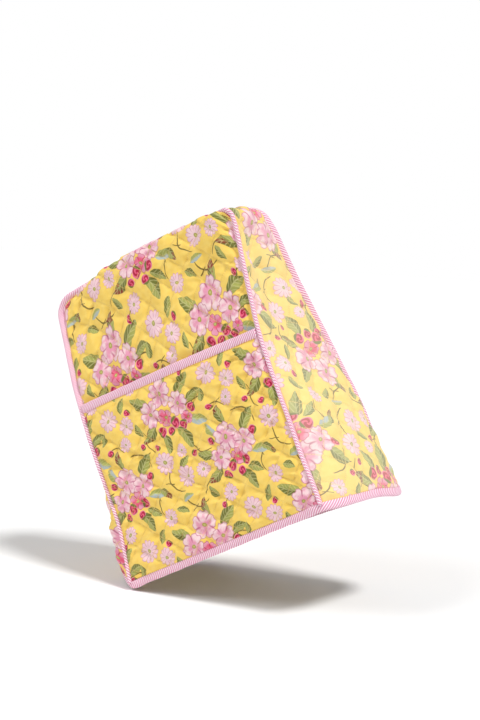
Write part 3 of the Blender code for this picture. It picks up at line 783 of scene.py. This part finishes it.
def stripedBinding():
    # pink and white stripes running slantwise over the folded strip
    material, tree, shader = newMaterial("stripedBinding")
    cloth = uvWire(tree, "cloth")
    along, around = cloth.split()
    wobble = cloth.node("ShaderNodeTexNoise", {}, {"Vector": cloth, "Scale": 60.0, "Detail": 1.0})
    slant = (along + around) * (2.0 * math.pi / (binding["stripePitch"] * math.sqrt(2.0)))
    stripe = (slant + wobble * 1.5).sine().ramp(-0.35, 0.35)
    colours = {0: stripe, 6: binding["pink"], 7: binding["white"]}
    colour = stripe.node("ShaderNodeMix", {"data_type": "RGBA"}, colours, 2)
    colour = colour.over(wobble.ramp(0.5, 0.85) * 0.25, binding["rubbed"])
    tree.links.new(colour.socket, shader.inputs["Base Color"])
    weave = (along * binding["weave"]).sine() * (around * binding["weave"]).sine()
    height = weave * 0.15 + wobble * 1.2 + stripe * 0.15
    bump = colour.node("ShaderNodeBump", {}, {"Height": height, "Strength": 0.5, "Distance": 0.0006})
    tree.links.new(bump.socket, shader.inputs["Normal"])
    tree.links.new((wobble * 0.1 + 0.72).socket, shader.inputs["Roughness"])
    shader.inputs["Sheen Weight"].default_value = 0.1
    return material


quiltedPrint = printed()
backing = plainBacking()
striped = stripedBinding()
print("materials made")


def panelMaps(u, v, spot):
    across = (u - 0.5) * cover["hemLength"]
    along = v * cover["sideRun"]
    p, q = lattice(across, along, quilt["cellWidth"], quilt["cellHeight"])
    clothMap = np.stack([across + spot[0], along + spot[1]], -1)
    return across, along, p, q, (clothMap, np.stack([p, q], -1))


def settle(piece, slotName, *nodes):
    # the piece takes the place of its solids on the one body
    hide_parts(*nodes)
    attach(piece, "root")


# near side behind and above the pocket
nearPanel = {"columns": 196, "hiddenRows": 14, "rows": 132, "printAt": (0.150, 0.036)}


def shareAtHeight(side, height, front):
    share = np.linspace(0.0, 1.0, 601)[:560]  # as far as the corner below the top
    heights = edgeAt(side, 3.0 - share if front else share)[:, 2]
    return float(np.interp(height, heights, share))


pocketRearShare = shareAtHeight(-1, cover["pocketHeight"] + cover["pocketRearRise"], False)
pocketFrontShare = shareAtHeight(-1, cover["pocketHeight"], True)


def pocketTop(u):
    # the share of the panel's height at which the pocket cloth ends
    return pocketRearShare + (pocketFrontShare - pocketRearShare) * u


def makeNearPanel():
    rows = np.concatenate((np.linspace(0.0, 0.5, nearPanel["hiddenRows"])[:-1],
                           np.linspace(0.5, 1.0, nearPanel["rows"])))
    u, v = uvGrid(np.linspace(0.0, 1.0, nearPanel["columns"]), rows)
    across, along, p, q, maps = panelMaps(u, v, nearPanel["printAt"])
    edge = smooth(np.minimum(u, 1.0 - u) / 0.03) * smooth((1.0 - v) / 0.02)
    above = smooth((v - pocketTop(u) - 0.030) / 0.025)
    relief = quilt["puffHeight"] * pillow(p, q, 11) + puckers(across, along, p, q, 21)
    return clothSheet("pocketPanel", panelBase(-1, u, v), relief * edge * above, maps, 1,
                      (quiltedPrint, backing))


panelPiece = makeNearPanel()
settle(panelPiece, "quilted_print", "pocket_panel")
print("near panel made")


# the patch pocket lying on it
pocket = {"columns": 200, "rows": 146, "gap": 0.0006, "slack": 0.0010, "printAt": (0.074, 0.128)}


def pocketBase(u, v):
    return panelBase(-1, u, v * pocketTop(u))


def pocketLift(u, v):
    slack = pocket["slack"] * np.sin(math.pi * u) * smooth((v - 0.4) / 0.6)
    return pocket["gap"] + slack + cover["clothThickness"]


def makePocket():
    u, v = uvGrid(np.linspace(0.0, 1.0, pocket["columns"]), np.linspace(0.0, 1.0, pocket["rows"]))
    across, along, p, q, maps = panelMaps(u, v * pocketTop(u), pocket["printAt"])
    edge = smooth(np.minimum(u, 1.0 - u) / 0.03) * smooth(np.minimum(v, 1.0 - v) / 0.04)
    relief = quilt["puffHeight"] * pillow(p, q, 12) + puckers(across, along, p, q, 22)
    return clothSheet("pocketCloth", pocketBase(u, v), relief * edge + pocketLift(u, v), maps, 1,
                      (quiltedPrint, backing))


pocketPiece = makePocket()
settle(pocketPiece, "quilted_print", "pocket")
print("pocket made")


# far side
farPanel = {"columns": 150, "rows": 186, "printAt": (0.020, 0.090)}


def makeFarPanel():
    u, v = uvGrid(np.linspace(0.0, 1.0, farPanel["columns"]), np.linspace(0.0, 1.0, farPanel["rows"]))
    across, along, p, q, maps = panelMaps(u, v, farPanel["printAt"])
    edge = smooth(np.minimum(u, 1.0 - u) / 0.03) * smooth(np.minimum(v, 1.0 - v) / 0.02)
    relief = quilt["puffHeight"] * pillow(p, q, 13) + puckers(across, along, p, q, 23)
    mirrored = (maps[0] * (-1.0, 1.0), maps[1])
    return clothSheet("backPanel", panelBase(1, u, v), relief * edge, mirrored, -1,
                      (quiltedPrint, backing))


backPiece = makeFarPanel()
settle(backPiece, "quilted_print", "back_panel")
print("far panel made")


# the long strip that runs up the rear, over the top and down the front
gusset = {"columns": 84, "rows": 560, "inset": 0.0024, "puckerShare": 0.55, "printAt": (0.030, 0.170),
          "paintedLight": 0.20}


def makeGusset():
    u, v = uvGrid(np.linspace(0.0, 1.0, gusset["columns"]), np.linspace(0.0, 1.0, gusset["rows"]))
    share = gussetShare(v)
    rowShare = gussetShare(np.linspace(0.0, 1.0, gusset["rows"]))
    a, b = gussetInsets(rowShare, gusset["inset"])
    base = gussetBase(share, -1.0 + a[None, :] + u * (2.0 - a - b)[None, :])
    width = np.linalg.norm(seamAt(1, share) - seamAt(-1, share), axis=-1)
    across = (u - 0.5) * width
    along = (v - 0.5) * cornersAlong[-1]
    g = math.radians(quilt["gussetGrain"])
    x = across * math.cos(g) - along * math.sin(g)
    y = across * math.sin(g) + along * math.cos(g)
    p, q = lattice(x, y, quilt["gussetCell"], quilt["gussetCell"])
    edge = smooth(np.minimum(u, 1.0 - u) / 0.07) * smooth(np.minimum(v, 1.0 - v) / 0.008)
    relief = quilt["puffHeight"] * pillow(p, q, 14) ** 1.4
    relief = relief + gusset["puckerShare"] * puckers(across, along, p, q, 24)
    spot = gusset["printAt"]
    maps = (np.stack([across + spot[0], along + spot[1]], -1), np.stack([p, q], -1))
    # painted light: paler towards the front end, which faces the key light
    paintedLight = gusset["paintedLight"] * smooth((share - 1.9) / 0.25)
    return clothSheet("gussetCloth", base, relief * edge, maps, -1, (quiltedPrint, backing), paintedLight)


gussetPiece = makeGusset()
settle(gussetPiece, "quilted_print", "gusset")
print("gusset made")


# bindings
def roundStrip(centres, longWay, shortWay, halfLong, halfShort, around, closedRun, seed):
    # rows of points round a strip; its fold and stitching make it a little uneven
    turn = np.linspace(0.0, 2.0 * math.pi, around + 1)
    c = np.cos(turn)
    s = np.sin(turn)
    full = 0.82
    shapeLong = np.sign(c) * np.abs(c) ** full
    shapeShort = np.sign(s) * np.abs(s) ** full
    run = np.concatenate(([0.0], np.cumsum(np.linalg.norm(np.diff(centres, axis=0), axis=1))))
    wave = cloudNoise(run / 0.011, np.full_like(run, 0.5), seed) * 0.05
    wave = wave + cloudNoise(run / 0.045, np.full_like(run, 0.5), seed + 1) * 0.05
    if closedRun:
        wave = wave * smooth(run / 0.03) * smooth((run[-1] - run) / 0.03)
    grow = (1.0 + wave)[:, None, None]
    points = (centres[:, None, :] + longWay[:, None, :] * (shapeLong * halfLong)[None, :, None] * grow
              + shortWay[:, None, :] * (shapeShort * halfShort)[None, :, None] * grow)
    steps = np.hypot(np.diff(shapeLong) * halfLong, np.diff(shapeShort) * halfShort)
    girth = np.concatenate(([0.0], np.cumsum(steps)))
    along = np.repeat(run[:, None], around + 1, axis=1)
    about = np.repeat(girth[None, :], len(run), axis=0)
    return points, np.stack([along, about], axis=-1)


def evened(vectors, width):
    # a moving average along a row of directions
    pad = np.concatenate((np.repeat(vectors[:1], width, 0), vectors, np.repeat(vectors[-1:], width, 0)))
    total = np.cumsum(np.concatenate((np.zeros((1, 3)), pad)), axis=0)
    size = 2 * width + 1
    return (total[size:] - total[:-size]) / size


def makeSeamBinding(name, side):
    share = np.linspace(0.0, 3.0, binding["seamRows"])
    s = seamAt(side, share)
    onTop = (share > 1.0) & (share < 2.0)
    u = np.clip(share - 1.0, 0.02, 0.98)
    v = np.where(onTop, 0.975, np.minimum(np.minimum(share, 3.0 - share), 0.98))
    inside = panelBase(side, u, v)
    behind = seamAt(side, np.maximum(share - 0.02, 0.0))
    run = unit(seamAt(side, np.minimum(share + 0.02, 3.0)) - behind)
    panelOut = unit(np.cross(run, inside - s))
    gussetOut = unit(np.cross(run, gussetBase(share, np.full_like(share, side * 0.88)) - s))
    middlePoint = np.array((0.0, -0.005, 0.22))
    panelOut = panelOut * np.where(np.sum(panelOut * (s - middlePoint), axis=1) < 0, -1.0, 1.0)[:, None]
    low = seamAt(-1, np.maximum(share - 0.01, 0.0))
    high = seamAt(-1, np.minimum(share + 0.01, 3.0))
    out = np.stack([low[:, 2] - high[:, 2], np.zeros_like(share), high[:, 0] - low[:, 0]], axis=-1)
    gussetOut = gussetOut * np.where(np.sum(gussetOut * out, axis=1) < 0, -1.0, 1.0)[:, None]
    middle = unit(evened(unit(panelOut + gussetOut), 9))
    middle = unit(middle - run * np.sum(middle * run, axis=1)[:, None])
    centres = s + middle * 0.0010
    centres = np.concatenate((centres[:1] - run[:1] * 0.003, centres, centres[-1:] + run[-1:] * 0.003))
    middle = np.concatenate((middle[:1], middle, middle[-1:]))
    across = np.cross(np.concatenate((run[:1], run, run[-1:])), middle)
    points, maps = roundStrip(centres, middle, across, binding["height"] / 2, binding["thickness"] / 2,
                              binding["around"], False, 31 + side)
    return tube(name, points, maps, striped, False)


def makePocketBinding():
    u = np.linspace(0.0, 1.0, binding["pocketRows"])
    one = np.ones_like(u)
    grid = pocketBase(*uvGrid(u, np.array((0.96, 1.0))))
    n = outwardNormals(grid, 1)[:, 1]
    up = unit(grid[:, 1] - grid[:, 0])
    lift = pocketLift(u, one) - cover["clothThickness"] + binding["pocketThickness"] / 2
    centres = grid[:, 1] + n * lift[:, None] + up * (binding["pocketHeight"] / 2 - 0.0012)
    points, maps = roundStrip(centres, up, n, binding["pocketHeight"] / 2,
                              binding["pocketThickness"] / 2, binding["around"], False, 41)
    return tube("pocketBinding", points, maps, striped, False)


def hemLoop():
    # the middle line of the lower edges, once around
    half = cover["clothThickness"] / 2
    u = np.linspace(0.0, 1.0, 15)[1:-1]
    zero = np.zeros_like(u)
    near = panelBase(-1, u, zero) + (0.0, half - 0.0016, 0.0)
    far = panelBase(1, u, zero) + (0.0, -half, 0.0)
    w = np.linspace(-1.0, 1.0, 17)[2:-2]
    front = gussetBase(np.full_like(w, 3.0), w) + (-half, 0.0, 0.0)
    rear = gussetBase(np.full_like(w, 0.0), w) + (half, 0.0, 0.0)
    places = ((-1, 3.0), (1, 3.0), (1, 0.0), (-1, 0.0))
    corners = [seamAt(side, share)[None, :] for side, share in places]
    edges = (near, front, far[::-1], rear[::-1])
    return np.concatenate([part for pair in zip(edges, corners) for part in pair])


def makeHemBinding():
    loop = hemLoop()
    line = Curve(np.concatenate((loop[-3:], loop, loop[:4])))
    apart = np.linalg.norm(line.line - loop[0], axis=1)
    early, late = 120, 280  # the line passes the loop's first point before one and after the other
    first = int(np.argmin(apart[:early]))
    last = late + int(np.argmin(apart[late:]))
    share = np.linspace(line.run[first], line.run[last], binding["hemRows"]) / line.length
    centres = evened(line.at(share), 2)
    centres[-1] = centres[0] = (centres[0] + centres[-1]) / 2
    run = np.gradient(centres, axis=0)
    run[0] = run[-1] = run[0] + run[-1]
    run = unit(run)
    sideWay = unit(np.cross(run, (0.0, 0.0, 1.0)))
    upWay = np.cross(sideWay, run)
    centres = centres - upWay * (binding["hemHeight"] / 2 - 0.0008)
    points, maps = roundStrip(centres, upWay, sideWay, binding["hemHeight"] / 2,
                              binding["hemThickness"] / 2, binding["around"], True, 51)
    return tube("hemBinding", points, maps, striped, True)


nearBinding = makeSeamBinding("nearSeamBinding", -1)
settle(nearBinding, "striped_binding", "near_seam_binding")
farBinding = makeSeamBinding("farSeamBinding", 1)
settle(farBinding, "striped_binding", "far_seam_binding")
pocketEdge = makePocketBinding()
settle(pocketEdge, "striped_binding", "pocket_binding")
hem = makeHemBinding()
settle(hem, "striped_binding", "hem_binding")
print("bindings made")


# floor, light and camera
studio = {
    "floorSize": 8.0,
    "floorGap": 0.0005,
    "floorColour": (0.94, 0.94, 0.94, 1.0),
    "world": (1.0, 1.0, 1.0, 1.0),
    "worldStrength": 0.40,
    "keyPower": 2.35,
    "keyFrom": (1.55, -0.40, 2.6),
    "keySpread": 12.0,  # degrees
    "fillPower": 0.80,
    "fillFrom": (-1.3, -1.9, 2.6),
    "fillSpread": 25.0,
    "cameraAt": (1.82500, -2.28682, 0.25821),
    "aim": (0.17080, -0.02761, -0.14172),
    "lens": 100.44,
}


def makeFloor(height):
    bm = bmesh.new()
    bmesh.ops.create_grid(bm, x_segments=1, y_segments=1, size=studio["floorSize"] / 2)
    bmesh.ops.translate(bm, verts=bm.verts, vec=(0.0, 0.0, height))
    mesh = bpy.data.meshes.new("floor")
    bm.to_mesh(mesh)
    bm.free()
    floor = bpy.data.objects.new("floor", mesh)
    bpy.context.scene.collection.objects.link(floor)
    material, tree, shader = newMaterial("floorPaper")
    shader.inputs["Base Color"].default_value = studio["floorColour"]
    shader.inputs["Roughness"].default_value = 0.8
    mesh.materials.append(material)


def softLight(name, comesFrom, spreadDegrees, power):
    # a broad far light, the same all over the floor
    data = bpy.data.lights.new(name, "SUN")
    data.angle = math.radians(spreadDegrees)
    data.energy = power
    lamp = bpy.data.objects.new(name, data)
    lamp.location = comesFrom
    lamp.rotation_euler = (-Vector(comesFrom)).to_track_quat("-Z", "Y").to_euler()
    bpy.context.scene.collection.objects.link(lamp)


makeFloor(cadBox[0].z - studio["floorGap"])
softLight("key", studio["keyFrom"], studio["keySpread"], studio["keyPower"])
softLight("fill", studio["fillFrom"], studio["fillSpread"], studio["fillPower"])
bpy.context.scene.view_settings.view_transform = "Standard"
world = bpy.data.worlds.new("studio")
bpy.context.scene.world = world
world.use_nodes = True
tree = world.node_tree
soft = tree.nodes["Background"]
soft.inputs["Color"].default_value = studio["world"]
soft.inputs["Strength"].default_value = studio["worldStrength"]
backdrop = tree.nodes.new("ShaderNodeBackground")
backdrop.inputs["Color"].default_value = studio["world"]
backdrop.inputs["Strength"].default_value = 1.0
rays = tree.nodes.new("ShaderNodeLightPath")
choose = tree.nodes.new("ShaderNodeMixShader")
tree.links.new(rays.outputs["Is Camera Ray"], choose.inputs[0])
tree.links.new(soft.outputs[0], choose.inputs[1])
tree.links.new(backdrop.outputs[0], choose.inputs[2])
tree.links.new(choose.outputs[0], tree.nodes["World Output"].inputs[0])

cameraData = bpy.data.cameras.new("camera")
cameraData.lens = studio["lens"]
cameraData.sensor_width = 36.0
camera = bpy.data.objects.new("camera", cameraData)
camera.location = studio["cameraAt"]
look = Vector(studio["aim"]) - Vector(studio["cameraAt"])
camera.rotation_euler = look.to_track_quat("-Z", "Y").to_euler()
bpy.context.scene.collection.objects.link(camera)
bpy.context.scene.camera = camera
print("stage made")
